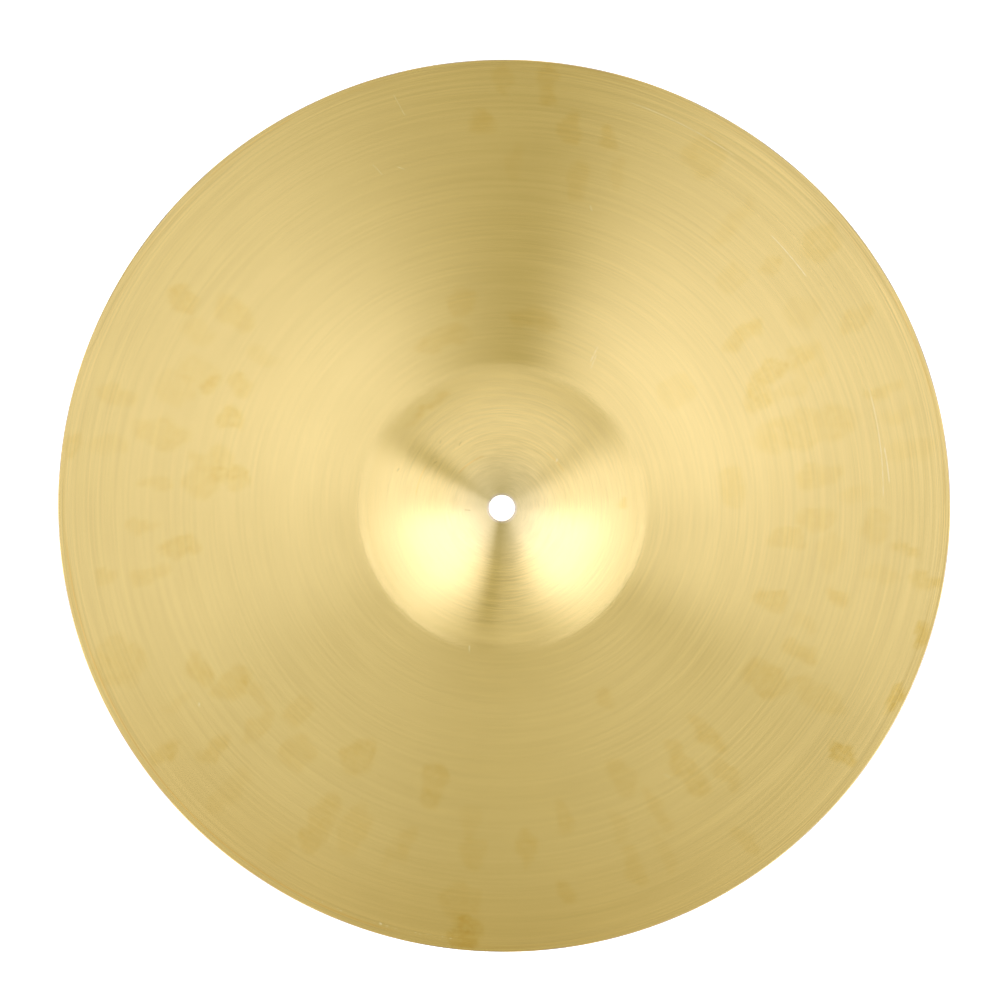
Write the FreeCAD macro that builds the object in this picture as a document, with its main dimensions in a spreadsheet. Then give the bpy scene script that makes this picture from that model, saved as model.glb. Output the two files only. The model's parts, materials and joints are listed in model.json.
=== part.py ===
import FreeCAD, Part
import math
import os
import Sketcher

# A crash cymbal: one thin brass disc, pressed and turned on a lathe.
# A domed bell stands in the middle, a gently convex bow falls from it to a plain rim,
# and one drilled hole takes the post of a cymbal stand.
# Frame: millimetres, +Z up through the hole, the origin in the plane that the rim rests on.

NODE = "cymbal"

# Driving dimensions in millimetres, and one in degrees, each with its spreadsheet cell's name.
DIMENSIONS = [
    ("disc_diameter", 406.4),   # a 16 inch disc, measured across the rim
    ("hole_diameter", 11.5),    # clears the plastic sleeve of a stand's post
    ("bell_diameter", 138.0),   # where the hollow around the bell runs out into the bow
    ("bell_height", 22.0),      # from there up to the top of the bell
    ("bow_height", 21.5),       # from the rim's plane up to the foot of the bell
    ("valley_radius", 18.0),    # roundness of the hollow between bell and bow
    ("bow_slope", 6.0),         # fall of the bow, in degrees, where it leaves the bell
    ("bell_thickness", 1.1),    # the sheet is thickest in the bell
    ("edge_thickness", 0.8),    # and is turned thinner towards the rim
    ("hole_break", 0.15),       # small chamfer left by deburring the hole
]

TOP = 0.5 * math.pi             # angle of straight up, in radians

# The closed outline of the sheet's section, in the order of its sketch elements.
CROWN_TOP, VALLEY_TOP, BOW_TOP, RIM, BOW_UNDER, VALLEY_UNDER, CROWN_UNDER, AXIS = range(8)
START, END, CENTRE = 1, 2, 3    # the sketcher's numbers for an arc's points
ORIGIN = (-1, 1)                # the sketcher's name for the sketch origin
VERTICAL_AXIS = -2              # and for the sketch's vertical axis


def make_sheet(doc):
    """The spreadsheet of driving dimensions: a name in column A, its value in column B."""
    sheet = doc.addObject("Spreadsheet::Sheet", "dimensions")
    for row, (alias, value) in enumerate(DIMENSIONS, start=1):
        sheet.set(f"A{row}", alias)
        sheet.set(f"B{row}", str(value))
        sheet.setAlias(f"B{row}", alias)
    doc.recompute()
    return sheet


def origin_plane(body, role):
    """The body's own origin plane of the given role, such as XY_Plane."""
    return next(item for item in body.Origin.OriginFeatures if item.Role == role)


def add_sketch(body, name, role):
    """An empty sketch on one of the body's origin planes."""
    sketch = body.newObject("Sketcher::SketchObject", name)
    sketch.AttachmentSupport = [(origin_plane(body, role), "")]
    sketch.MapMode = "FlatFace"
    return sketch


def bound(sketch, name, expression, *constraint):
    """Adds one named dimension to a sketch and binds it to the spreadsheet."""
    index = sketch.addConstraint(Sketcher.Constraint(*constraint))
    sketch.renameConstraint(index, name)
    sketch.setExpression(f"Constraints.{name}", expression)


def heading(centre, point):
    """Angle, from the sketch's horizontal, of the line from a centre to a point."""
    return math.atan2(point.y - centre.y, point.x - centre.x)


def arc(centre, radius, first, last):
    """An arc that runs counter-clockwise from one angle to another."""
    circle = Part.Circle(FreeCAD.Vector(centre.x, centre.y, 0), FreeCAD.Vector(0, 0, 1), radius)
    return Part.ArcOfCircle(circle, first, last)


def crown_radius(top, valley_centre, valley_radius):
    """Radius of the arc through the bell's top, centred on the axis, that touches the valley's arc.

    The crown's centre lies a radius below the top and, because the arcs touch from outside, at
    radius + valley_radius from the valley's centre. Solved for the radius, that is the line below.
    """
    rise = valley_centre.y - top
    return (valley_radius ** 2 - valley_centre.x ** 2 - rise ** 2) / (2 * (rise - valley_radius))


def bow_radius(foot, inward, rim_centre, offset):
    """Radius of the arc that leaves the foot square to `inward` and just touches the rim's round.

    The arc's centre lies at foot + radius * inward. It has to be radius - offset away from the
    centre of the rim's round, and that condition solved for the radius is the line below.
    """
    reach = rim_centre - foot
    return (reach.dot(reach) - offset ** 2) / (2 * (reach.dot(inward) - offset))


def section_outline(size):
    """The outline's eight elements, placed where the dimensions put them."""
    slope = math.radians(size.bow_slope)
    rim_radius = size.edge_thickness / 2
    top = size.bow_height + size.bell_height
    foot_top = FreeCAD.Vector(size.bell_diameter / 2, size.bow_height, 0)
    rim_centre = FreeCAD.Vector(size.disc_diameter / 2 - rim_radius, rim_radius, 0)
    upward = FreeCAD.Vector(math.sin(slope), math.cos(slope), 0)
    valley_centre = foot_top + upward * size.valley_radius
    crown = crown_radius(top, valley_centre, size.valley_radius)
    crown_centre = FreeCAD.Vector(0, top - crown, 0)

    under_radius = size.valley_radius + size.bell_thickness
    across = foot_top.x - valley_centre.x
    foot_under = valley_centre + FreeCAD.Vector(across, -math.sqrt(under_radius ** 2 - across ** 2), 0)

    bows = []
    for foot, offset in ((foot_top, rim_radius), (foot_under, -rim_radius)):
        inward = (foot - valley_centre).normalize()
        radius = bow_radius(foot, inward, rim_centre, offset)
        centre = foot + inward * radius
        bows.append((centre, radius, heading(centre, rim_centre), heading(centre, foot)))
    bow_top, bow_under = bows

    shoulder = heading(crown_centre, valley_centre)
    axis_under = FreeCAD.Vector(0, top - size.bell_thickness, 0)
    axis_top = FreeCAD.Vector(0, top, 0)
    return [
        arc(crown_centre, crown, shoulder, TOP),
        arc(valley_centre, size.valley_radius, shoulder + math.pi, heading(valley_centre, foot_top)),
        arc(*bow_top),
        arc(rim_centre, rim_radius, bow_under[2] + math.pi, bow_top[2]),
        arc(*bow_under),
        arc(valley_centre, under_radius, shoulder + math.pi, heading(valley_centre, foot_under)),
        arc(crown_centre, crown - size.bell_thickness, shoulder, TOP),
        Part.LineSegment(axis_under, axis_top),
    ]


def section_sketch(body, size):
    """The section of the sheet, from the axis to the rim, held by tangency and dimensions."""
    sketch = add_sketch(body, "Section", "XZ_Plane")
    sketch.addGeometry(section_outline(size), False)

    smooth_joints = [
        (CROWN_TOP, START, VALLEY_TOP, START),
        (VALLEY_TOP, END, BOW_TOP, END),
        (BOW_TOP, START, RIM, END),
        (RIM, START, BOW_UNDER, START),
        (BOW_UNDER, END, VALLEY_UNDER, END),
        (VALLEY_UNDER, START, CROWN_UNDER, START),
    ]
    for joint in smooth_joints:
        sketch.addConstraint(Sketcher.Constraint("Tangent", *joint))

    shared_points = [
        (CROWN_UNDER, END, AXIS, START),
        (AXIS, END, CROWN_TOP, END),
        (CROWN_TOP, CENTRE, CROWN_UNDER, CENTRE),
        (VALLEY_TOP, CENTRE, VALLEY_UNDER, CENTRE),
    ]
    for pair in shared_points:
        sketch.addConstraint(Sketcher.Constraint("Coincident", *pair))
    for point in ((CROWN_TOP, CENTRE), (AXIS, START), (AXIS, END)):
        sketch.addConstraint(Sketcher.Constraint("PointOnObject", *point, VERTICAL_AXIS))
    sketch.addConstraint(Sketcher.Constraint("Vertical", VALLEY_TOP, END, VALLEY_UNDER, END))

    dims = "dimensions."
    bound(sketch, "valley_radius", dims + "valley_radius", "Radius", VALLEY_TOP, size.valley_radius)
    bound(sketch, "valley_lean", dims + "valley_radius * sin(" + dims + "bow_slope)",
          "DistanceX", VALLEY_TOP, END, VALLEY_TOP, CENTRE,
          size.valley_radius * math.sin(math.radians(size.bow_slope)))
    bound(sketch, "rim_radius", dims + "edge_thickness / 2", "Radius", RIM, size.edge_thickness / 2)
    bound(sketch, "bell_thickness", dims + "bell_thickness",
          "DistanceY", AXIS, START, AXIS, END, size.bell_thickness)
    bound(sketch, "foot_out", dims + "bell_diameter / 2",
          "DistanceX", *ORIGIN, VALLEY_TOP, END, size.bell_diameter / 2)
    bound(sketch, "foot_up", dims + "bow_height",
          "DistanceY", *ORIGIN, VALLEY_TOP, END, size.bow_height)
    bound(sketch, "top_up", dims + "bow_height + " + dims + "bell_height",
          "DistanceY", *ORIGIN, CROWN_TOP, END, size.bow_height + size.bell_height)
    bound(sketch, "rim_out", dims + "disc_diameter / 2 - " + dims + "edge_thickness / 2",
          "DistanceX", *ORIGIN, RIM, CENTRE, (size.disc_diameter - size.edge_thickness) / 2)
    bound(sketch, "rim_up", dims + "edge_thickness / 2",
          "DistanceY", *ORIGIN, RIM, CENTRE, size.edge_thickness / 2)
    return sketch


def turn_disc(body, size):
    """The sheet: its section turned once round the axis."""
    sketch = section_sketch(body, size)
    turning = body.newObject("PartDesign::Revolution", "Turning")
    turning.Profile = sketch
    turning.ReferenceAxis = (sketch, ["V_Axis"])
    turning.Angle = 360
    sketch.Visibility = False
    return turning


def drill_hole(body, size):
    """The hole for the stand's post, drilled up through the middle of the bell."""
    sketch = add_sketch(body, "HoleCircle", "XY_Plane")
    circle = Part.Circle(FreeCAD.Vector(0, 0, 0), FreeCAD.Vector(0, 0, 1), size.hole_diameter / 2)
    sketch.addGeometry(circle, False)
    sketch.addConstraint(Sketcher.Constraint("Coincident", 0, CENTRE, *ORIGIN))
    bound(sketch, "hole_diameter", "dimensions.hole_diameter", "Diameter", 0, size.hole_diameter)
    hole = body.newObject("PartDesign::Pocket", "StandHole")
    hole.Profile = sketch
    hole.Type = "ThroughAll"
    hole.Reversed = True
    sketch.Visibility = False
    return hole


def break_hole_edges(body, hole, size):
    """A small chamfer on both lips of the hole, as deburring leaves it."""
    wall = next(face for face in hole.Shape.Faces if isinstance(face.Surface, Part.Cylinder))
    lips = [edge for edge in wall.Edges if edge.isClosed()]
    names = [f"Edge{number}" for number, edge in enumerate(hole.Shape.Edges, start=1)
             if any(edge.isSame(lip) for lip in lips)]
    if len(names) != 2:
        raise RuntimeError(f"expected two hole lips, found {names}")
    chamfer = body.newObject("PartDesign::Chamfer", "HoleBreak")
    chamfer.Base = (hole, names)
    chamfer.Size = size.hole_break
    chamfer.setExpression("Size", "dimensions.hole_break")
    return chamfer


def make_cymbal(doc, size):
    """The whole cymbal, a single piece of metal."""
    body = doc.addObject("PartDesign::Body", NODE)
    body.Label = NODE
    body.Placement = FreeCAD.Placement()
    turning = turn_disc(body, size)
    doc.recompute()
    full_volume = turning.Shape.Volume
    hole = drill_hole(body, size)
    doc.recompute()
    plug = math.pi * (size.hole_diameter / 2) ** 2 * size.bell_thickness
    removed = full_volume - hole.Shape.Volume
    if not 0.95 * plug < removed < 1.05 * plug:
        raise RuntimeError(f"the hole removed {removed:.2f} mm3, expected about {plug:.2f}")
    break_hole_edges(body, hole, size)
    doc.recompute()
    return body


def check_document(doc, bodies):
    """Stops before anything is written if a feature failed or a shape is bad."""
    for item in doc.Objects:
        if "Invalid" in item.State or "Error" in item.State:
            raise RuntimeError(f"{item.Name} failed: {item.State}")
        if item.TypeId == "Sketcher::SketchObject" and not item.FullyConstrained:
            raise RuntimeError(f"{item.Name} is not fully constrained")
    for body in bodies:
        if body.Shape.isNull() or not body.Shape.isValid() or len(body.Shape.Solids) != 1:
            raise RuntimeError(f"{body.Label} is not one valid solid")


def main():
    doc = FreeCAD.newDocument("crash_cymbal")
    size = make_sheet(doc)
    bodies = [make_cymbal(doc, size)]
    check_document(doc, bodies)
    os.makedirs("parts", exist_ok=True)
    for body in bodies:
        body.Shape.exportStep(f"parts/{body.Label}.step")
        box = body.Shape.optimalBoundingBox()
        print(f"{body.Label}: {box.XLength:.2f} x {box.YLength:.2f} x {box.ZLength:.2f} mm, "
              f"z from {box.ZMin:.3f}, {body.Shape.Volume:.0f} mm3")


main()
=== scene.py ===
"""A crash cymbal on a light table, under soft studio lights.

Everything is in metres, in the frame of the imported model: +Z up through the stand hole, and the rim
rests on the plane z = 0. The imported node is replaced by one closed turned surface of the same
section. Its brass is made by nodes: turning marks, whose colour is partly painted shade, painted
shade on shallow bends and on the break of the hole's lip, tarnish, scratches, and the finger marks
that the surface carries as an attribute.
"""

import json
import math

import bpy
import numpy as np
from mathutils import Matrix, Vector


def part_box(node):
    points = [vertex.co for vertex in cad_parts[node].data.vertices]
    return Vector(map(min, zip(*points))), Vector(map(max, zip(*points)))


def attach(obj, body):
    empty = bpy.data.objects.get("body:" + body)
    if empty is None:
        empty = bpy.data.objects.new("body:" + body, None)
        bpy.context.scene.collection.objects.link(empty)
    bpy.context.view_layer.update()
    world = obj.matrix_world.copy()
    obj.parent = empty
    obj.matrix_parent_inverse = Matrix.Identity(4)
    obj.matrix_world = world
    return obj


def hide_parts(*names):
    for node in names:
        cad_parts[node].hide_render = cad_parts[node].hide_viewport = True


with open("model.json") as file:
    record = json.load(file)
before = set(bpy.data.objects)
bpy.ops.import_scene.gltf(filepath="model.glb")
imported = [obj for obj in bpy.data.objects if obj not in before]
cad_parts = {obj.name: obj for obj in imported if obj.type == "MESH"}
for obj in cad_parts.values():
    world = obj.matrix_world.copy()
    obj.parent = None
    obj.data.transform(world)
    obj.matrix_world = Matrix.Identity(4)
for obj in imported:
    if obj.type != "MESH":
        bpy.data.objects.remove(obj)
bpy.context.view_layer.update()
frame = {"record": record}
MM = 0.001

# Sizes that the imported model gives.
NODE_LOW, NODE_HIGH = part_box("cymbal")
DISC_RADIUS = NODE_HIGH[0]
CUT_BY_HOLE = 0.164 * MM                      # the hole takes the very top of the dome away
BELL_TOP = NODE_HIGH[2] + CUT_BY_HOLE
STAND_HOLE = next(m for m in frame["record"]["mounts"] if m["name"] == "stand_hole")
HOLE_RADIUS = STAND_HOLE["dims"]["r_mm"] * MM

# Sizes of the section that a box cannot give.
BELL_FOOT_RADIUS = 69.0 * MM                  # where the hollow around the bell runs out into the bow
BELL_FOOT_HEIGHT = 21.5 * MM
VALLEY_RADIUS = 18.0 * MM
BOW_SLOPE = math.radians(6.0)                 # fall of the bow where it leaves the bell
BELL_THICKNESS = 1.1 * MM
EDGE_THICKNESS = 0.8 * MM
HOLE_BREAK = 0.15 * MM
LIP_BAND = 0.12 * MM                          # a narrow step that keeps the lip's smooth shading narrow

# Fineness of the mesh.
SIDES = 600
CROWN_STEPS, VALLEY_STEPS, BOW_STEPS, RIM_STEPS = 34, 10, 76, 6
UNDER_BOW_STEPS, UNDER_VALLEY_STEPS, UNDER_CROWN_STEPS = 14, 5, 10

# Finger marks as (azimuth in degrees, distance from the axis, half length outward, half width
# round), in millimetres, from barely seen to heavy.
FAINT_MARKS = (
    (160, 158, 10, 8), (150, 160, 9, 5), (156, 150, 12, 6), (148, 128, 8, 3), (171, 181, 10, 5),
    (71, 160, 8, 3), (88, 155, 9, 4), (51, 165, 15, 4), (45, 147, 8, 6), (33, 161, 9, 7),
    (25, 153, 9, 7), (22, 140, 10, 3), (2, 160, 8, 4), (34, 94, 9, 8), (13, 183, 9, 3),
    (8, 187, 12, 5), (352, 150, 7, 9), (350, 174, 9, 4), (290, 154, 9, 4), (295, 172, 11, 3.5),
    (264, 143, 9, 5), (252, 165, 9, 3.5), (226, 180, 14, 5), (211, 174, 8, 2.5), (237, 186, 9, 5),
    (339, 145, 7, 4),
)
CLEAR_MARKS = (
    (110, 81, 5, 14), (80, 86, 5, 12), (168, 159, 14, 7), (144, 150, 11, 7), (176, 158, 8, 3),
    (77, 150, 10, 5), (42, 163, 6, 4), (170, 130, 7, 5), (171, 140, 4, 3), (175, 137, 9, 8),
    (174, 122, 7, 5), (90, 194, 7, 4), (101, 94, 8, 6), (14.5, 141, 26, 9), (60, 183, 10, 10),
    (27, 151, 9, 5), (5, 104, 7, 9), (17, 181, 10, 3), (173, 125, 9, 4), (357, 169, 7, 8),
    (354, 129, 9, 6), (358, 141, 9, 6), (5.6, 143, 11, 6), (329, 167, 16, 6), (310, 158, 10, 4),
    (297, 154, 11, 4.5), (290, 174, 11, 4), (264, 181, 9, 10), (281, 144, 9, 4), (254, 158, 9, 4),
    (245, 161, 13, 7), (230, 145, 9, 8), (225, 130, 9, 5), (222, 149, 10, 5), (217, 140, 3.5, 9),
    (190, 183, 6, 4), (183, 164, 8, 3), (298, 98, 5, 5), (306, 188, 8, 4), (294, 134, 11, 6),
    (265, 158, 9, 6), (40, 187, 11, 8), (202, 189, 13, 12), (28, 181, 9, 5), (164, 183, 10, 5),
    (172, 198, 5, 5), (191, 163, 11, 4),
)
STRONG_MARKS = (
    (147, 173, 9, 5), (157, 143, 4, 5), (162, 129, 7, 5), (155, 130, 6, 5), (93, 175, 7, 6),
    (74, 173, 6, 4), (35.8, 133, 11.5, 5), (27, 135, 9, 4.5), (23.5, 125.5, 7, 7), (350, 196, 9, 4),
    (345, 157, 6, 3.5), (334, 150, 9, 5), (341, 128, 9, 5), (327, 142, 12, 8), (312, 138, 11, 5),
    (305, 145, 17, 5), (279, 177, 6, 4), (274, 154, 10, 4.5), (256, 129, 11, 6),
    (240, 167, 16, 6.5), (240, 131, 10, 8), (213, 147, 10, 6.5), (208, 156, 5, 9),
    (220, 172, 9, 4.5), (216, 190, 8, 5), (187, 147, 10, 5), (84, 192, 10, 4.5), (80, 174, 8, 5),
    (354, 183, 8, 3), (2.5, 54.5, 2.3, 2.3), (127, 56, 2.2, 12),
)
HEAVY_MARKS = (
    (343, 199, 4, 6), (334, 198, 4, 7), (324, 190, 8, 5), (265, 196, 9, 8), (265, 199, 5, 4),
)
MARK_GROUPS = ((FAINT_MARKS, 0.35), (CLEAR_MARKS, 0.6), (STRONG_MARKS, 0.88), (HEAVY_MARKS, 1.5))
UNDER_MARKS, UNDER_STRENGTH = 40, 0.8         # as many, laid at random, on the underside
UNDER_SEED = 5
DEEPEST_MARK = 2.0                            # where marks overlap they get no darker than this


# ---------------------------------------------------------------------------------------------
# Shape
# ---------------------------------------------------------------------------------------------

def arc(centre, radius, first, last, steps):
    """Points centre + radius * (cos a, sin a) for steps even angles from first, leaving out last."""
    angle = np.linspace(first, last, steps, endpoint=False)
    return np.stack([centre[0] + radius * np.cos(angle), centre[1] + radius * np.sin(angle)], axis=1)


def heading(centre, point):
    """Angle of the line from a centre to a point of the section."""
    return math.atan2(point[1] - centre[1], point[0] - centre[0])


def bow_arc(foot, inward, rim_centre, offset):
    """Centre and radius of the arc that leaves the foot square to inward and touches the rim's round.

    Its centre is foot + radius * inward and lies radius - offset from the rim's centre, which gives
    radius = (reach . reach - offset^2) / (2 (reach . inward - offset)), reach running foot to rim.
    """
    reach = rim_centre - foot
    radius = (reach @ reach - offset ** 2) / (2 * (reach @ inward - offset))
    return foot + inward * radius, radius


def section():
    """The sheet's closed outline as (distance from the axis, height) points.

    It is eight tangent arcs, crown, valley, bow and rim above and the same back below, and the
    hole's wall with a chamfer at each lip.
    """
    rim_round = EDGE_THICKNESS / 2
    rim_centre = np.array([DISC_RADIUS - rim_round, rim_round])
    foot = np.array([BELL_FOOT_RADIUS, BELL_FOOT_HEIGHT])
    valley_centre = foot + VALLEY_RADIUS * np.array([math.sin(BOW_SLOPE), math.cos(BOW_SLOPE)])
    rise = valley_centre[1] - BELL_TOP
    squares = VALLEY_RADIUS ** 2 - valley_centre[0] ** 2 - rise ** 2
    crown_radius = squares / (2 * (rise - VALLEY_RADIUS))
    crown_centre = np.array([0.0, BELL_TOP - crown_radius])
    shoulder = heading(crown_centre, valley_centre)

    under_radius = VALLEY_RADIUS + BELL_THICKNESS
    across = foot[0] - valley_centre[0]
    foot_under = valley_centre + np.array([across, -math.sqrt(under_radius ** 2 - across ** 2)])
    inward = (foot - valley_centre) / VALLEY_RADIUS
    inward_under = (foot_under - valley_centre) / under_radius
    bow_centre, bow_radius = bow_arc(foot, inward, rim_centre, rim_round)
    low_centre, low_radius = bow_arc(foot_under, inward_under, rim_centre, -rim_round)
    bow_end = heading(bow_centre, rim_centre)
    low_end = heading(low_centre, rim_centre)

    crown_under = crown_radius - BELL_THICKNESS
    lip_out = HOLE_RADIUS + HOLE_BREAK
    lip_top = crown_centre[1] + math.sqrt(crown_radius ** 2 - lip_out ** 2)
    lip_under = crown_centre[1] + math.sqrt(crown_under ** 2 - lip_out ** 2)
    top_start = math.acos(lip_out / crown_radius)
    lip_width = LIP_BAND / crown_radius
    under_stop = math.acos(lip_out / crown_under)
    valley_top = heading(valley_centre, foot)
    valley_low = heading(valley_centre, foot_under)
    return np.concatenate([
        arc(crown_centre, crown_radius, top_start, top_start - lip_width, 1),
        arc(crown_centre, crown_radius, top_start - lip_width, shoulder, CROWN_STEPS - 1),
        arc(valley_centre, VALLEY_RADIUS, shoulder - math.pi, valley_top, VALLEY_STEPS),
        arc(bow_centre, bow_radius, heading(bow_centre, foot), bow_end, BOW_STEPS),
        arc(rim_centre, rim_round, bow_end, low_end - math.pi, RIM_STEPS),
        arc(low_centre, low_radius, low_end, heading(low_centre, foot_under), UNDER_BOW_STEPS),
        arc(valley_centre, under_radius, valley_low, shoulder - math.pi, UNDER_VALLEY_STEPS),
        arc(crown_centre, crown_under, shoulder, under_stop, UNDER_CROWN_STEPS),
        np.array([
            [lip_out, lip_under],
            [HOLE_RADIUS, lip_under + HOLE_BREAK],
            [HOLE_RADIUS, lip_top - HOLE_BREAK],
        ]),
    ])


OUTLINE = section()
UPPER_POINTS = CROWN_STEPS + VALLEY_STEPS + BOW_STEPS


def finger_marks(x, y, marks, strength):
    """How dark the finger marks are at each point, as the sum of soft ovals.

    An oval's own distance is the length of ((r - radius) / half length, r * turn / half width),
    turn being the angle to its azimuth. It is full up to 0.82, and gone at 1.1. The points are
    first pushed about by 1.2 mm in waves of 17 and 23 mm, so that no oval is quite regular.
    """
    wave_x = 1.2 * MM * np.sin(2 * math.pi * y / (17 * MM) + 2 * np.sin(2 * math.pi * x / (23 * MM)))
    wave_y = 1.2 * MM * np.sin(2 * math.pi * x / (17 * MM) + 2 * np.sin(2 * math.pi * y / (23 * MM)))
    radius = np.hypot(x + wave_x, y + wave_y)[:, None]
    turn = np.arctan2(y + wave_y, x + wave_x)[:, None]
    azimuth, centre, half_length, half_width = np.array(marks).T
    away = (turn - np.radians(azimuth) + math.pi) % (2 * math.pi) - math.pi
    oval = np.hypot((radius - centre * MM) / (half_length * MM), radius * away / (half_width * MM))
    depth = np.clip((1.10 - oval) / 0.28, 0, 1)
    return strength * (depth * depth * (3 - 2 * depth)).sum(axis=1)


def all_finger_marks(points):
    """The marks by name on the upper side, and random ones on the underside."""
    upper = np.arange(len(points)) % len(OUTLINE) < UPPER_POINTS
    x, y = points[:, 0], points[:, 1]
    depth = np.zeros(len(points))
    for marks, strength in MARK_GROUPS:
        depth[upper] += finger_marks(x[upper], y[upper], marks, strength)
    chance = np.random.default_rng(UNDER_SEED)
    ranges = ((0, 360), (90, 195), (6, 13), (3, 7))
    random_marks = np.stack([chance.uniform(*limits, UNDER_MARKS) for limits in ranges], axis=1)
    depth[~upper] = finger_marks(x[~upper], y[~upper], random_marks, UNDER_STRENGTH)
    return np.minimum(depth, DEEPEST_MARK)


def turned_mesh(name, outline):
    """The outline turned about Z: point (r, z) at angle t goes to (r cos t, r sin t, z)."""
    count = len(outline)
    turn = np.linspace(0, 2 * math.pi, SIDES, endpoint=False)[:, None]
    x = outline[None, :, 0] * np.cos(turn)
    y = outline[None, :, 0] * np.sin(turn)
    z = np.broadcast_to(outline[None, :, 1], x.shape)
    points = np.stack([x, y, z], axis=2).reshape(-1, 3)

    side = np.arange(SIDES)[:, None] * count
    next_side = (np.arange(SIDES)[:, None] + 1) % SIDES * count
    step = np.arange(count)[None, :]
    next_step = (step + 1) % count
    quads = np.stack([side + step, side + next_step, next_side + next_step, next_side + step], axis=2)

    mesh = bpy.data.meshes.new(name)
    mesh.from_pydata(points, [], quads.reshape(-1, 4).tolist())
    mesh.polygons.foreach_set("use_smooth", np.ones(SIDES * count, dtype=bool))
    marks = mesh.attributes.new("finger_marks", "FLOAT", "POINT")
    marks.data.foreach_set("value", all_finger_marks(points).astype(np.float32))
    mesh.update()
    piece = bpy.data.objects.new(name, mesh)
    bpy.context.collection.objects.link(piece)
    return piece


# ---------------------------------------------------------------------------------------------
# Materials
# ---------------------------------------------------------------------------------------------

class Nodes:
    """Short ways of adding shader nodes: each call adds one node and returns its output."""

    def __init__(self, owner):
        owner.use_nodes = True
        self.tree = owner.node_tree

    def feed(self, socket, value):
        """Sets a socket to a plain value, or links it when the value is another node's output."""
        if isinstance(value, bpy.types.NodeSocket):
            self.tree.links.new(value, socket)
        else:
            socket.default_value = value

    def maths(self, operation, first, second=0.0, clamp=False):
        node = self.tree.nodes.new("ShaderNodeMath")
        node.operation = operation
        node.use_clamp = clamp
        self.feed(node.inputs[0], first)
        self.feed(node.inputs[1], second)
        return node.outputs[0]

    def vector(self, operation, first, second=(0.0, 0.0, 0.0), scale=1.0):
        node = self.tree.nodes.new("ShaderNodeVectorMath")
        node.operation = operation
        self.feed(node.inputs[0], first)
        if operation == "SCALE":
            self.feed(node.inputs["Scale"], scale)
        else:
            self.feed(node.inputs[1], second)
        return node.outputs["Value" if operation in ("LENGTH", "DOT_PRODUCT") else "Vector"]

    def wrapped(self, value, limit):
        """Brings a value that goes round back between -limit and limit."""
        node = self.tree.nodes.new("ShaderNodeMath")
        node.operation = "WRAP"
        self.feed(node.inputs[0], value)
        self.feed(node.inputs[1], limit)
        self.feed(node.inputs[2], -limit)
        return node.outputs[0]

    def noise(self, vector, scale, detail):
        node = self.tree.nodes.new("ShaderNodeTexNoise")
        self.feed(node.inputs["Vector"], vector)
        node.inputs["Scale"].default_value = scale
        node.inputs["Detail"].default_value = detail
        return node.outputs["Fac"]

    def mixed(self, share, first, second, kind="VECTOR", free=False):
        """Goes from first to second as share goes from 0 to 1, and beyond 1 too when free."""
        node = self.tree.nodes.new("ShaderNodeMix")
        node.data_type = kind
        node.clamp_factor = not free
        names = {"VECTOR": "Vector", "RGBA": "Color", "FLOAT": "Float"}[kind]
        sockets = {socket.identifier: socket for socket in node.inputs}
        self.feed(sockets["Factor_Float"], share)
        self.feed(sockets[f"A_{names}"], first)
        self.feed(sockets[f"B_{names}"], second)
        return next(socket for socket in node.outputs if socket.identifier == f"Result_{names}")

    def parts(self, vector):
        node = self.tree.nodes.new("ShaderNodeSeparateXYZ")
        self.feed(node.inputs[0], vector)
        return node.outputs

    def ramp(self, value, low, high, out_low=0.0, out_high=1.0, smooth=True):
        """Goes from out_low at low to out_high at high, and stays level outside."""
        node = self.tree.nodes.new("ShaderNodeMapRange")
        node.interpolation_type = "SMOOTHSTEP" if smooth else "LINEAR"
        self.feed(node.inputs["Value"], value)
        for socket, setting in (("From Min", low), ("From Max", high), ("To Min", out_low),
                                ("To Max", out_high)):
            self.feed(node.inputs[socket], setting)
        return node.outputs[0]

    def band(self, value, begin, full, fade, end):
        """1 from full to fade, falling smoothly to 0 at begin and at end."""
        return self.product(self.ramp(value, begin, full), self.ramp(value, fade, end, 1.0, 0.0))

    def away(self, turn, azimuth):
        """How many degrees a direction is away from an azimuth, either way round."""
        return self.maths("ABSOLUTE", self.wrapped(self.maths("SUBTRACT", turn, azimuth), 180.0))

    def product(self, first, *others):
        for value in others:
            first = self.maths("MULTIPLY", first, value)
        return first

    def weighted(self, *pairs):
        """The sum of value * weight over the pairs."""
        result = self.product(*pairs[0])
        for value, weight in pairs[1:]:
            result = self.maths("ADD", result, self.product(value, weight))
        return result

    def tinted(self, colour, share, tint, free=False):
        """The colour, multiplied by the tint as far as share goes."""
        return self.vector("MULTIPLY", colour, self.mixed(share, (1, 1, 1), tint, free=free))


BELL_FACETS_END, BOW_FACETS_BEGIN = 58.5 * MM, 67 * MM
GRAIN_PER_METRE = 20000.0                     # facets of both kinds mingle in grains this fine

# How far the bow's turning marks face the bell: at the bell's foot, where it is most, and at the rim.
LEAN_AT_FOOT, LEAN_MOST, LEAN_AT_RIM = (math.tan(math.radians(d)) for d in (5.5, 6.8, 5.2))
LEAN_MOST_RADIUS = 92 * MM

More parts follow.
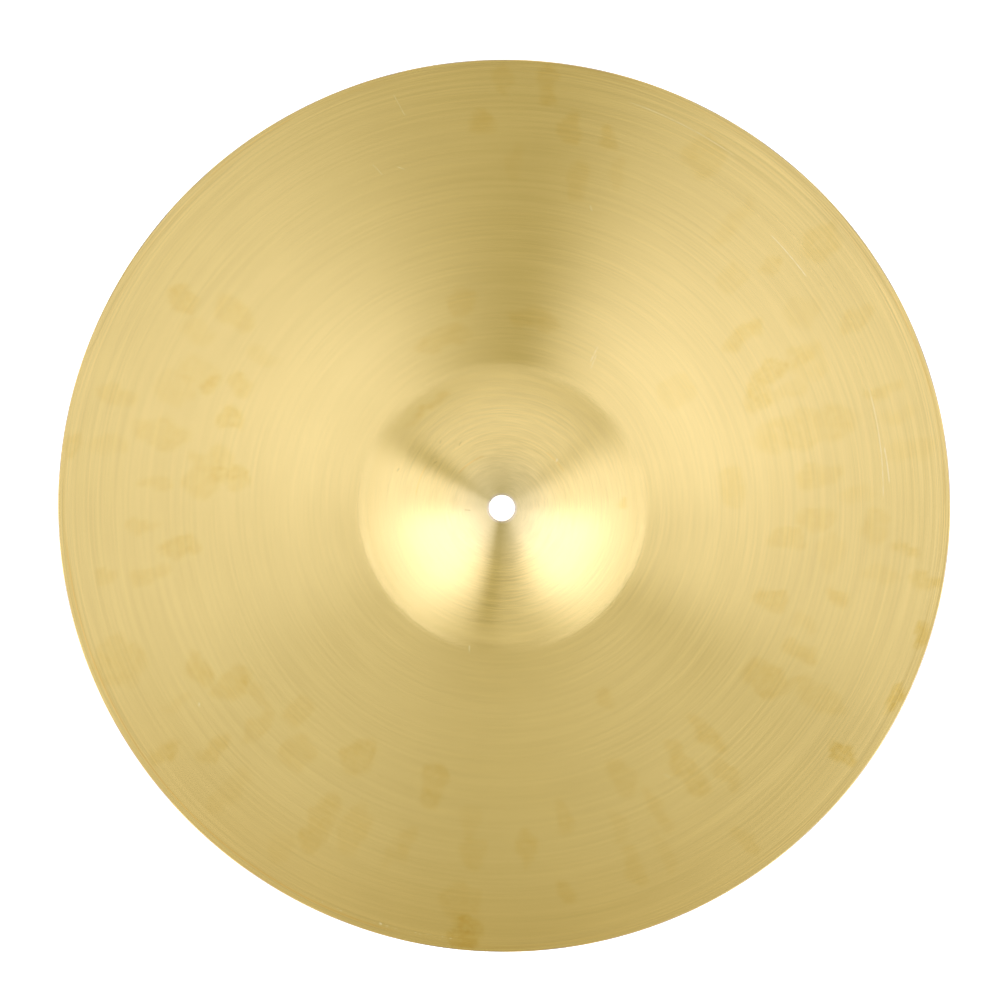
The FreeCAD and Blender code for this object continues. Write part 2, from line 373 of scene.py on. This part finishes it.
BRASS = (0.90, 0.68, 0.26)
CROWN_BRASS = (0.875, 0.70, 0.335)            # the top of the bell is polished paler
SCRATCH_BRASS = (1.00, 0.85, 0.49)
FINGER_STAIN = (0.968, 0.940, 0.835)          # what one clear finger mark leaves of each colour
RIM_STAIN = (0.94, 0.915, 0.84)
# grime on the worn rim and in the nicks, and painted shade on the bends
GRIME_AND_SHADE = (0.62, 0.58, 0.50)
LIP_METAL = (0.86, 0.71, 0.45)                # paler around the stand hole
LIP_SHADE = (0.40, 0.42, 0.45)                # painted shade on the break of its edge
EDGE_GREY = (0.42, 0.39, 0.38)                # dirt on the rim's round
ORANGE_STAIN = (1.00, 0.92, 0.77)
RING_SHADE, RING_LEAN = 0.050, 0.018          # what the turning marks do to the colour, as grain and painted shade, and to the slope
CHATTER_AZIMUTH = 269.0                       # middle of the chatter marks on the bell
MARKED_AZIMUTH = 20.0                         # the bow's turning marks, grain and painted shade, are plainest on this side
STAINED_AZIMUTH = 258.0                       # middle of the darker stretch of the rim
CHIPS = (244, 264, 198.3, 198.1, 0.8)         # a stretch of pale chips, in the form of a round scratch

# Straight scratches as (azimuth, distance) of both ends, in degrees and millimetres, and half width.
SCRATCHES = (
    (104.9, 193.5, 104.1, 183.0, 0.18), (110.8, 165.5, 110.0, 160.0, 0.16),
    (107.2, 161, 106.3, 159, 0.20), (59.3, 83.5, 58.9, 76.5, 0.22), (58.4, 80.0, 57.6, 74.0, 0.16),
    (257.0, 66.5, 256.6, 64.0, 0.35), (41.3, 32.6, 40.7, 31.8, 0.5),
    (301.6, 143.5, 301.2, 141.0, 0.16), (213.2, 164.9, 212.9, 164.2, 0.5),
    (73.8, 141.5, 73.3, 139.5, 0.25),
)
# Scratches that run round, as (first azimuth, last azimuth, first distance, last distance, half width).
ROUND_SCRATCHES = (
    (56.0, 73.0, 190.4, 192.2, 0.22), (37.0, 45.5, 172.2, 172.6, 0.30),
    (1.0, 18.5, 172.0, 174.0, 0.22), (3.5, 9.0, 175.2, 174.6, 0.30),
)
# Painted shade of shallow bends near the rim and at the bell's foot, as lines that run round in the
# same form.
SHADED_BENDS = (
    (157, 160, 199.8, 202.0, 0.25), (141, 158, 199.4, 200.4, 0.25), (136, 158, 199.2, 199.2, 0.20),
    (128, 142, 197.6, 197.9, 0.22), (112, 130, 198.6, 198.2, 0.16), (44, 61, 200.9, 199.8, 0.30),
    (6, 21, 199.3, 199.2, 0.25), (0, 5, 200.4, 200.5, 0.22), (22, 42, 200.2, 200.6, 0.18),
    (62, 84, 200.8, 200.3, 0.16), (332, 352, 200.2, 200.7, 0.20), (300, 326, 200.6, 200.0, 0.16),
    (176, 196, 201.0, 201.4, 0.25), (205, 232, 200.6, 200.2, 0.18), (165, 262, 65.0, 65.0, 0.22),
    (292, 350, 65.2, 65.2, 0.20),
)
# Orange arcs of tarnish on the bell and along the rim.
ORANGE_LINES = (
    (108, 142, 24.4, 24.5, 0.50), (150, 172, 38.6, 38.8, 0.35), (30, 52, 31.8, 31.6, 0.35),
    (182, 258, 199.6, 199.8, 0.70), (118, 132, 201.0, 200.8, 0.40), (14, 30, 201.0, 200.9, 0.40),
)
# Small dark nicks, in the same form as the straight scratches.
NICKS = (
    (160.5, 49.6, 159.4, 49.2, 0.45), (146.5, 35.9, 144.6, 35.6, 0.35),
    (124.5, 33.6, 122.0, 34.4, 0.35), (133.6, 39.8, 132.4, 40.4, 0.30),
    (184.0, 14.2, 183.0, 16.4, 0.40),
)


def on_plan(azimuth, radius):
    """The point of the plan at an azimuth in degrees and a distance from the axis."""
    return Vector((math.cos(math.radians(azimuth)), math.sin(math.radians(azimuth)), 0)) * radius


def straight_scratch(nodes, place, ends):
    """1 on the line between two points of the plan and 0 beyond its half width.

    The point is taken from the first end, and the part of it along the line, kept between the ends,
    is taken off. What is left is the distance from the line.
    """
    first_turn, first_radius, last_turn, last_radius, half_width = ends
    first = on_plan(first_turn, first_radius * MM)
    along = on_plan(last_turn, last_radius * MM) - first
    from_first = nodes.vector("SUBTRACT", place, first)
    passed = nodes.vector("DOT_PRODUCT", from_first, along)
    share = nodes.maths("DIVIDE", passed, along.length_squared, clamp=True)
    nearest = nodes.vector("SCALE", along, scale=share)
    distance = nodes.vector("LENGTH", nodes.vector("SUBTRACT", from_first, nearest))
    return nodes.ramp(distance, 0.0, half_width * MM, 1.0, 0.0)


def round_line(nodes, turn, radius, ends):
    """1 on the line whose distance from the axis goes evenly with azimuth, fading at both ends."""
    first_turn, last_turn, first_radius, last_radius, half_width = ends
    share = nodes.ramp(turn, first_turn, last_turn, smooth=False)
    line = nodes.ramp(share, 0, 1, first_radius * MM, last_radius * MM, smooth=False)
    off_line = nodes.maths("ABSOLUTE", nodes.maths("SUBTRACT", radius, line))
    fade = nodes.band(share, 0.0, 0.08, 0.92, 1.0)
    return nodes.product(fade, nodes.ramp(off_line, 0.0, half_width * MM, 1.0, 0.0))


def rings(nodes, outward, radius, spacing, turns, shift):
    """Noise that is drawn out round the axis, about -1 to 1, with rings of the given spacing.

    Its place is turns * outward across, and radius / spacing + shift upward.
    """
    height = nodes.tree.nodes.new("ShaderNodeCombineXYZ")
    nodes.feed(height.inputs[2], nodes.maths("ADD", nodes.maths("DIVIDE", radius, spacing), shift))
    place = nodes.vector("ADD", nodes.vector("SCALE", outward, scale=turns), height.outputs[0])
    return nodes.ramp(nodes.noise(place, 1.0, 1.0), 0.32, 0.68, -1.0, 1.0, smooth=False)


def total(nodes, values):
    """The sum of many outputs, kept between 0 and 1."""
    result = values[0]
    for value in values[1:]:
        result = nodes.maths("ADD", result, value, clamp=True)
    return result


def turning_marks(nodes, outward, radius, turn):
    """Noise that is stretched round the axis, as (marks, shade, lean).

    It is read at three spacings. The shade goes into the colour, partly as grain and partly as painted
    shade of the light that the grooves catch. On the bow it is plainest on one side, and it gets
    stronger at the rim, over the bell, and where chatter marks cross the front of the bell.
    """
    fine = rings(nodes, outward, radius, 0.55 * MM, 3.0, 0.0)
    marks = rings(nodes, outward, radius, 1.1 * MM, 2.4, 20.0)
    bands = rings(nodes, outward, radius, 3.6 * MM, 1.8, 50.0)
    on_bell = nodes.band(radius, 10 * MM, 24 * MM, 44 * MM, 64 * MM)
    chatter = nodes.product(nodes.ramp(nodes.away(turn, CHATTER_AZIMUTH), 10, 24, 1.0, 0.0),
                            nodes.band(radius, 20 * MM, 28 * MM, 42 * MM, 58 * MM))
    on_side = nodes.ramp(nodes.away(turn, MARKED_AZIMUTH), 50, 110, 1.0, 0.45)
    near_rim = nodes.ramp(radius, 172 * MM, 196 * MM)
    at_rim = nodes.ramp(radius, 194 * MM, 199 * MM)

    ring = nodes.weighted((fine, 0.65), (marks, 0.4))
    on_bow = nodes.maths("ADD", nodes.weighted((near_rim, 0.45), (at_rim, 1.5)), 0.56)
    depth = nodes.weighted((on_bow, on_side), (on_bell, 0.8), (chatter, 0.9))
    shade = nodes.weighted((ring, depth), (nodes.product(bands, on_bell), 0.2))
    steepness = nodes.maths("ADD", nodes.product(on_bell, 0.5), 0.05)
    lean = nodes.product(nodes.maths("ADD", ring, bands), steepness)
    return marks, shade, lean


def tarnished(nodes, colour, place, radius, turn):
    """The colour with finger marks and the darker stretch of the rim."""
    handled = nodes.tree.nodes.new("ShaderNodeAttribute")
    handled.attribute_name = "finger_marks"
    mottle = nodes.noise(place, 420.0, 2.0)
    patches = nodes.noise(place, 150.0, 1.0)
    stain = nodes.product(handled.outputs["Fac"],
                          nodes.ramp(mottle, 0.35, 0.65, 0.75, 1.3, smooth=False),
                          nodes.ramp(patches, 0.35, 0.65, 0.9, 1.3, smooth=False))
    colour = nodes.tinted(colour, stain, FINGER_STAIN, free=True)
    front = nodes.ramp(nodes.away(turn, STAINED_AZIMUTH), 25, 75, 1.0, 0.0)
    outer = nodes.ramp(radius, 150 * MM, 200 * MM)
    return nodes.tinted(colour, nodes.product(front, outer), RIM_STAIN)


def dirtied_and_shaded(nodes, colour, place, radius, turn, marks):
    """The colour with painted shade on the bends, wear at the rim, orange lines, nicks, the lip of the
    hole with painted shade on its break, and the edge of the rim.
    """
    flat = nodes.vector("MULTIPLY", place, (1, 1, 0))
    rim_band = nodes.ramp(radius, 196 * MM, 201 * MM)
    lines = total(nodes, [round_line(nodes, turn, radius, ends) for ends in SHADED_BENDS])
    worn = nodes.product(rim_band, nodes.ramp(marks, 0.2, 1.0, 0.0, 0.30))
    # painted shade of the bends, with grime where the rim is worn
    colour = nodes.tinted(colour, total(nodes, [nodes.product(lines, 0.28), worn]), GRIME_AND_SHADE)

    arcs = [round_line(nodes, turn, radius, ends) for ends in ORANGE_LINES]
    warm = nodes.product(rim_band, nodes.ramp(marks, 0.0, -1.0, 0.0, 0.35))
    colour = nodes.tinted(colour, total(nodes, arcs + [warm]), ORANGE_STAIN)

    nicks = total(nodes, [straight_scratch(nodes, flat, ends) for ends in NICKS])
    colour = nodes.tinted(colour, nodes.product(nicks, 0.6), GRIME_AND_SHADE)

    lip = nodes.ramp(radius, HOLE_RADIUS + 0.5 * MM, HOLE_RADIUS + 1.4 * MM, 1.0, 0.0)
    colour = nodes.mixed(lip, colour, LIP_METAL)
    # painted shade on the break of the hole's edge
    lip_break_shade = nodes.ramp(radius, HOLE_RADIUS + HOLE_BREAK, HOLE_RADIUS + 0.35 * MM, 1.0, 0.0)
    colour = nodes.mixed(lip_break_shade, colour, LIP_SHADE)
    at_edge = nodes.ramp(radius, DISC_RADIUS - 0.7 * MM, DISC_RADIUS - 0.2 * MM)
    edge_dirt = nodes.product(at_edge, nodes.ramp(nodes.noise(place, 60.0, 1.0), 0.35, 0.65, 0.25, 0.8))
    return nodes.mixed(edge_dirt, colour, EDGE_GREY)


def scratched(nodes, colour, place, radius, turn):
    """The colour with bright scratches and chips, broken up by fine noise."""
    flat = nodes.vector("MULTIPLY", place, (1, 1, 0))
    scratches = [straight_scratch(nodes, flat, ends) for ends in SCRATCHES]
    scratches += [round_line(nodes, turn, radius, ends) for ends in ROUND_SCRATCHES]
    flecks = nodes.ramp(nodes.noise(place, 900.0, 0.0), 0.62, 0.70)
    chips = nodes.product(flecks, round_line(nodes, turn, radius, CHIPS))
    broken = nodes.ramp(nodes.noise(place, 420.0, 2.0), 0.35, 0.55, 0.45, 1.0)
    share = nodes.product(total(nodes, scratches + [chips]), broken)
    return nodes.mixed(share, colour, SCRATCH_BRASS)


def facet_normal(nodes, place, outward, radius, ring_lean):
    """The shading normal: the bow's facets lean to the bell, and mingle with the bell's at its foot."""
    surface = nodes.tree.nodes.new("ShaderNodeNewGeometry").outputs["Normal"]
    upright = nodes.vector("MULTIPLY", nodes.vector("SIGN", surface), (0, 0, 1))
    rise = nodes.ramp(radius, BOW_FACETS_BEGIN, LEAN_MOST_RADIUS, -LEAN_AT_FOOT, -LEAN_MOST,
                      smooth=False)
    fall = nodes.ramp(radius, LEAN_MOST_RADIUS, DISC_RADIUS, 0.0, LEAN_MOST - LEAN_AT_RIM,
                      smooth=False)
    leaning = nodes.vector("SCALE", outward, scale=nodes.maths("ADD", rise, fall))
    facet = nodes.vector("NORMALIZE", nodes.vector("ADD", upright, leaning))
    grain = nodes.tree.nodes.new("ShaderNodeTexWhiteNoise")
    grain.noise_dimensions = "3D"
    nodes.feed(grain.inputs["Vector"], nodes.vector("SCALE", place, scale=GRAIN_PER_METRE))
    on_bow = nodes.maths("LESS_THAN", grain.outputs["Value"],
                         nodes.ramp(radius, BELL_FACETS_END, BOW_FACETS_BEGIN, 0.0, 1.0))
    off_rim = nodes.ramp(radius, DISC_RADIUS - 0.7 * MM, DISC_RADIUS - 0.3 * MM, 1.0, 0.0)
    turned = nodes.mixed(nodes.product(on_bow, off_rim), surface, facet)
    wobble = nodes.vector("SCALE", outward, scale=nodes.product(ring_lean, RING_LEAN))
    return nodes.vector("NORMALIZE", nodes.vector("ADD", turned, wobble))


def brushed_brass():
    """Lathe-turned brass: the grain runs round the axis and the bow's turning marks face the bell."""
    material = bpy.data.materials.new("brushed_brass")
    nodes = Nodes(material)
    shader = nodes.tree.nodes["Principled BSDF"]
    shader.inputs["Metallic"].default_value = 1.0
    shader.inputs["Anisotropic"].default_value = 0.9

    place = nodes.tree.nodes.new("ShaderNodeTexCoord").outputs["Object"]
    flat = nodes.vector("MULTIPLY", place, (1, 1, 0))
    outward = nodes.vector("NORMALIZE", flat)
    radius = nodes.vector("LENGTH", flat)
    x, y, z = nodes.parts(place)
    turn = nodes.maths("DEGREES", nodes.maths("ARCTAN2", y, x))
    turn = nodes.maths("FLOORED_MODULO", turn, 360.0)
    marks, ring_shade, ring_lean = turning_marks(nodes, outward, radius, turn)

    polish = nodes.ramp(radius, 5 * MM, 32 * MM, 1.0, 0.0)
    cloud = nodes.ramp(nodes.noise(place, 28.0, 2.0), 0.3, 0.7, 0.985, 1.015, smooth=False)
    # the turning marks' shade, grain and painted shade, and a random cloud of tone scale the brass
    shade = nodes.maths("ADD", nodes.product(ring_shade, RING_SHADE), cloud)
    colour = nodes.vector("SCALE", nodes.mixed(polish, BRASS, CROWN_BRASS), scale=shade)
    colour = tarnished(nodes, colour, place, radius, turn)
    colour = dirtied_and_shaded(nodes, colour, place, radius, turn, marks)
    nodes.feed(shader.inputs["Base Color"], scratched(nodes, colour, place, radius, turn))
    nodes.feed(shader.inputs["Roughness"], nodes.ramp(marks, -1, 1, 0.24, 0.26, smooth=False))
    nodes.feed(shader.inputs["Normal"], facet_normal(nodes, place, outward, radius, ring_lean))
    nodes.feed(shader.inputs["Tangent"], outward)
    return material


def glowing_white(name):
    """The even white of a light table."""
    material = bpy.data.materials.new(name)
    material.use_nodes = True
    shader = material.node_tree.nodes["Principled BSDF"]
    shader.inputs["Base Color"].default_value = (0.9, 0.9, 0.9, 1.0)
    shader.inputs["Roughness"].default_value = 0.6
    shader.inputs["Emission Color"].default_value = (1, 1, 1, 1)
    shader.inputs["Emission Strength"].default_value = 1.0
    return material


# ---------------------------------------------------------------------------------------------
# Stage, lights and camera
# ---------------------------------------------------------------------------------------------

FLOOR_SIZE = 12.0
FLOOR_GAP = 0.3 * MM

CAMERA_DISTANCE = 1.5
CAMERA_LEAN_RIGHT = math.radians(0.868)       # the camera stands a little right of the axis
CAMERA_LEAN_UP = math.radians(0.786)          # and a little above it
CAMERA_LENS = 118.49
CAMERA_AIM = Vector((-1.26, 2.76, 0.0)) * MM


def light_table():
    half = FLOOR_SIZE / 2
    corners = [(-half, -half), (half, -half), (half, half), (-half, half)]
    mesh = bpy.data.meshes.new("light_table")
    mesh.from_pydata([(x, y, -FLOOR_GAP) for x, y in corners], [], [(0, 1, 2, 3)])
    table = bpy.data.objects.new("light_table", mesh)
    bpy.context.collection.objects.link(table)
    table.data.materials.append(glowing_white("table_white"))
    return table


def aimed(obj, target):
    """Turns an object so that its -Z looks at the target and its own +Y leans to the frame's +Y."""
    back = (obj.location - target).normalized()
    right = Vector((0, 1, 0)).cross(back).normalized()
    up = back.cross(right)
    obj.rotation_euler = Matrix((right, up, back)).transposed().to_euler()


FRONT, BACK = 270.0, 90.0                     # azimuths of the studio's front and back, in degrees
CEILING_LIGHT = (0.65, 0.65, 0.60)
COOL_LIGHT = (0.60, 0.65, 1.00)               # every card has this tint
DARKEST_LIGHT = (0.02, 0.02, 0.02)

# A card's size, as (half width, softness, low, high, edge) in degrees, and its strength.
BACK_CARD, BACK_STRENGTH = (50, 10, 20, 55, 10), 0.5
BANK, BANK_STRENGTH = (45, 30, 10, 75, 5), 0.9
LAMP, LAMP_STRENGTH = (35, 30, 20, 50, 15), 1.5
FLAG, FLAG_STRENGTH = (5, 10, 10, 60, 10), -0.7
CAMERA_STAND, STAND_STRENGTH = (360, 1, -50, 10, 5), -0.4    # all round the zenith

BANK_TURN, LAMP_TURN = 75, 50                 # both come in pairs, this far round from the front
FLAG_AZIMUTHS = (150, 260)


def reflector(nodes, turn, zenith, azimuth, size, strength):
    """A soft card in the surroundings, as a colour over direction; all angles in degrees.

    Across, it is full within half_width of its azimuth and fades over softness. From the zenith
    down, it reaches from low to high and fades over edge. A negative strength is a dark flag.
    """
    half_width, softness, low, high, edge = size
    across = nodes.ramp(nodes.away(turn, azimuth), half_width - softness / 2,
                        half_width + softness / 2, 1.0, 0.0)
    down = nodes.band(zenith, low - edge / 2, low + edge / 2, high - edge / 2, high + edge / 2)
    colour = tuple(strength * part for part in COOL_LIGHT)
    return nodes.vector("SCALE", colour, scale=nodes.product(across, down))


def studio_world():
    """Soft light from cards on both sides and behind, around a dimmer ceiling.

    The camera itself sees a plain white backdrop in place of the cards.
    """
    world = bpy.data.worlds.new("studio")
    bpy.context.scene.world = world
    nodes = Nodes(world)
    direction = nodes.tree.nodes.new("ShaderNodeTexCoord").outputs["Generated"]
    x, y, z = nodes.parts(direction)
    turn = nodes.maths("DEGREES", nodes.maths("ARCTAN2", y, x))
    zenith = nodes.maths("DEGREES", nodes.maths("ARCCOSINE", z))

    cards = [(BACK, BACK_CARD, BACK_STRENGTH)]
    for side in (-1, 1):
        cards.append((FRONT + side * BANK_TURN, BANK, BANK_STRENGTH))
        cards.append((FRONT + side * LAMP_TURN, LAMP, LAMP_STRENGTH))
    cards += [(azimuth, FLAG, FLAG_STRENGTH) for azimuth in FLAG_AZIMUTHS]
    cards.append((0, CAMERA_STAND, STAND_STRENGTH))
    light = CEILING_LIGHT
    for azimuth, size, strength in cards:
        card = reflector(nodes, turn, zenith, azimuth, size, strength)
        light = nodes.vector("ADD", light, card)
    light = nodes.vector("MAXIMUM", light, DARKEST_LIGHT)

    seen = nodes.tree.nodes.new("ShaderNodeLightPath").outputs["Is Camera Ray"]
    background = nodes.tree.nodes["Background"]
    nodes.feed(background.inputs["Color"], nodes.mixed(seen, light, (1, 1, 1)))
    background.inputs["Strength"].default_value = 1.0


def overhead_camera():
    data = bpy.data.cameras.new("overhead_camera")
    data.lens = CAMERA_LENS
    data.sensor_width = 36.0
    data.clip_start, data.clip_end = 0.05, 50.0
    camera = bpy.data.objects.new("overhead_camera", data)
    bpy.context.collection.objects.link(camera)
    direction = Vector((math.tan(CAMERA_LEAN_RIGHT), math.tan(CAMERA_LEAN_UP), 1.0)).normalized()
    camera.location = CAMERA_AIM + CAMERA_DISTANCE * direction
    aimed(camera, CAMERA_AIM)
    bpy.context.scene.camera = camera
    return camera


# ---------------------------------------------------------------------------------------------
# Assembly
# ---------------------------------------------------------------------------------------------

cymbal = turned_mesh("turned_cymbal", OUTLINE)
cymbal.data.materials.append(brushed_brass())
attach(cymbal, "root")
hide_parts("cymbal")

light_table()
studio_world()
overhead_camera()
bpy.context.scene.view_settings.view_transform = "Standard"
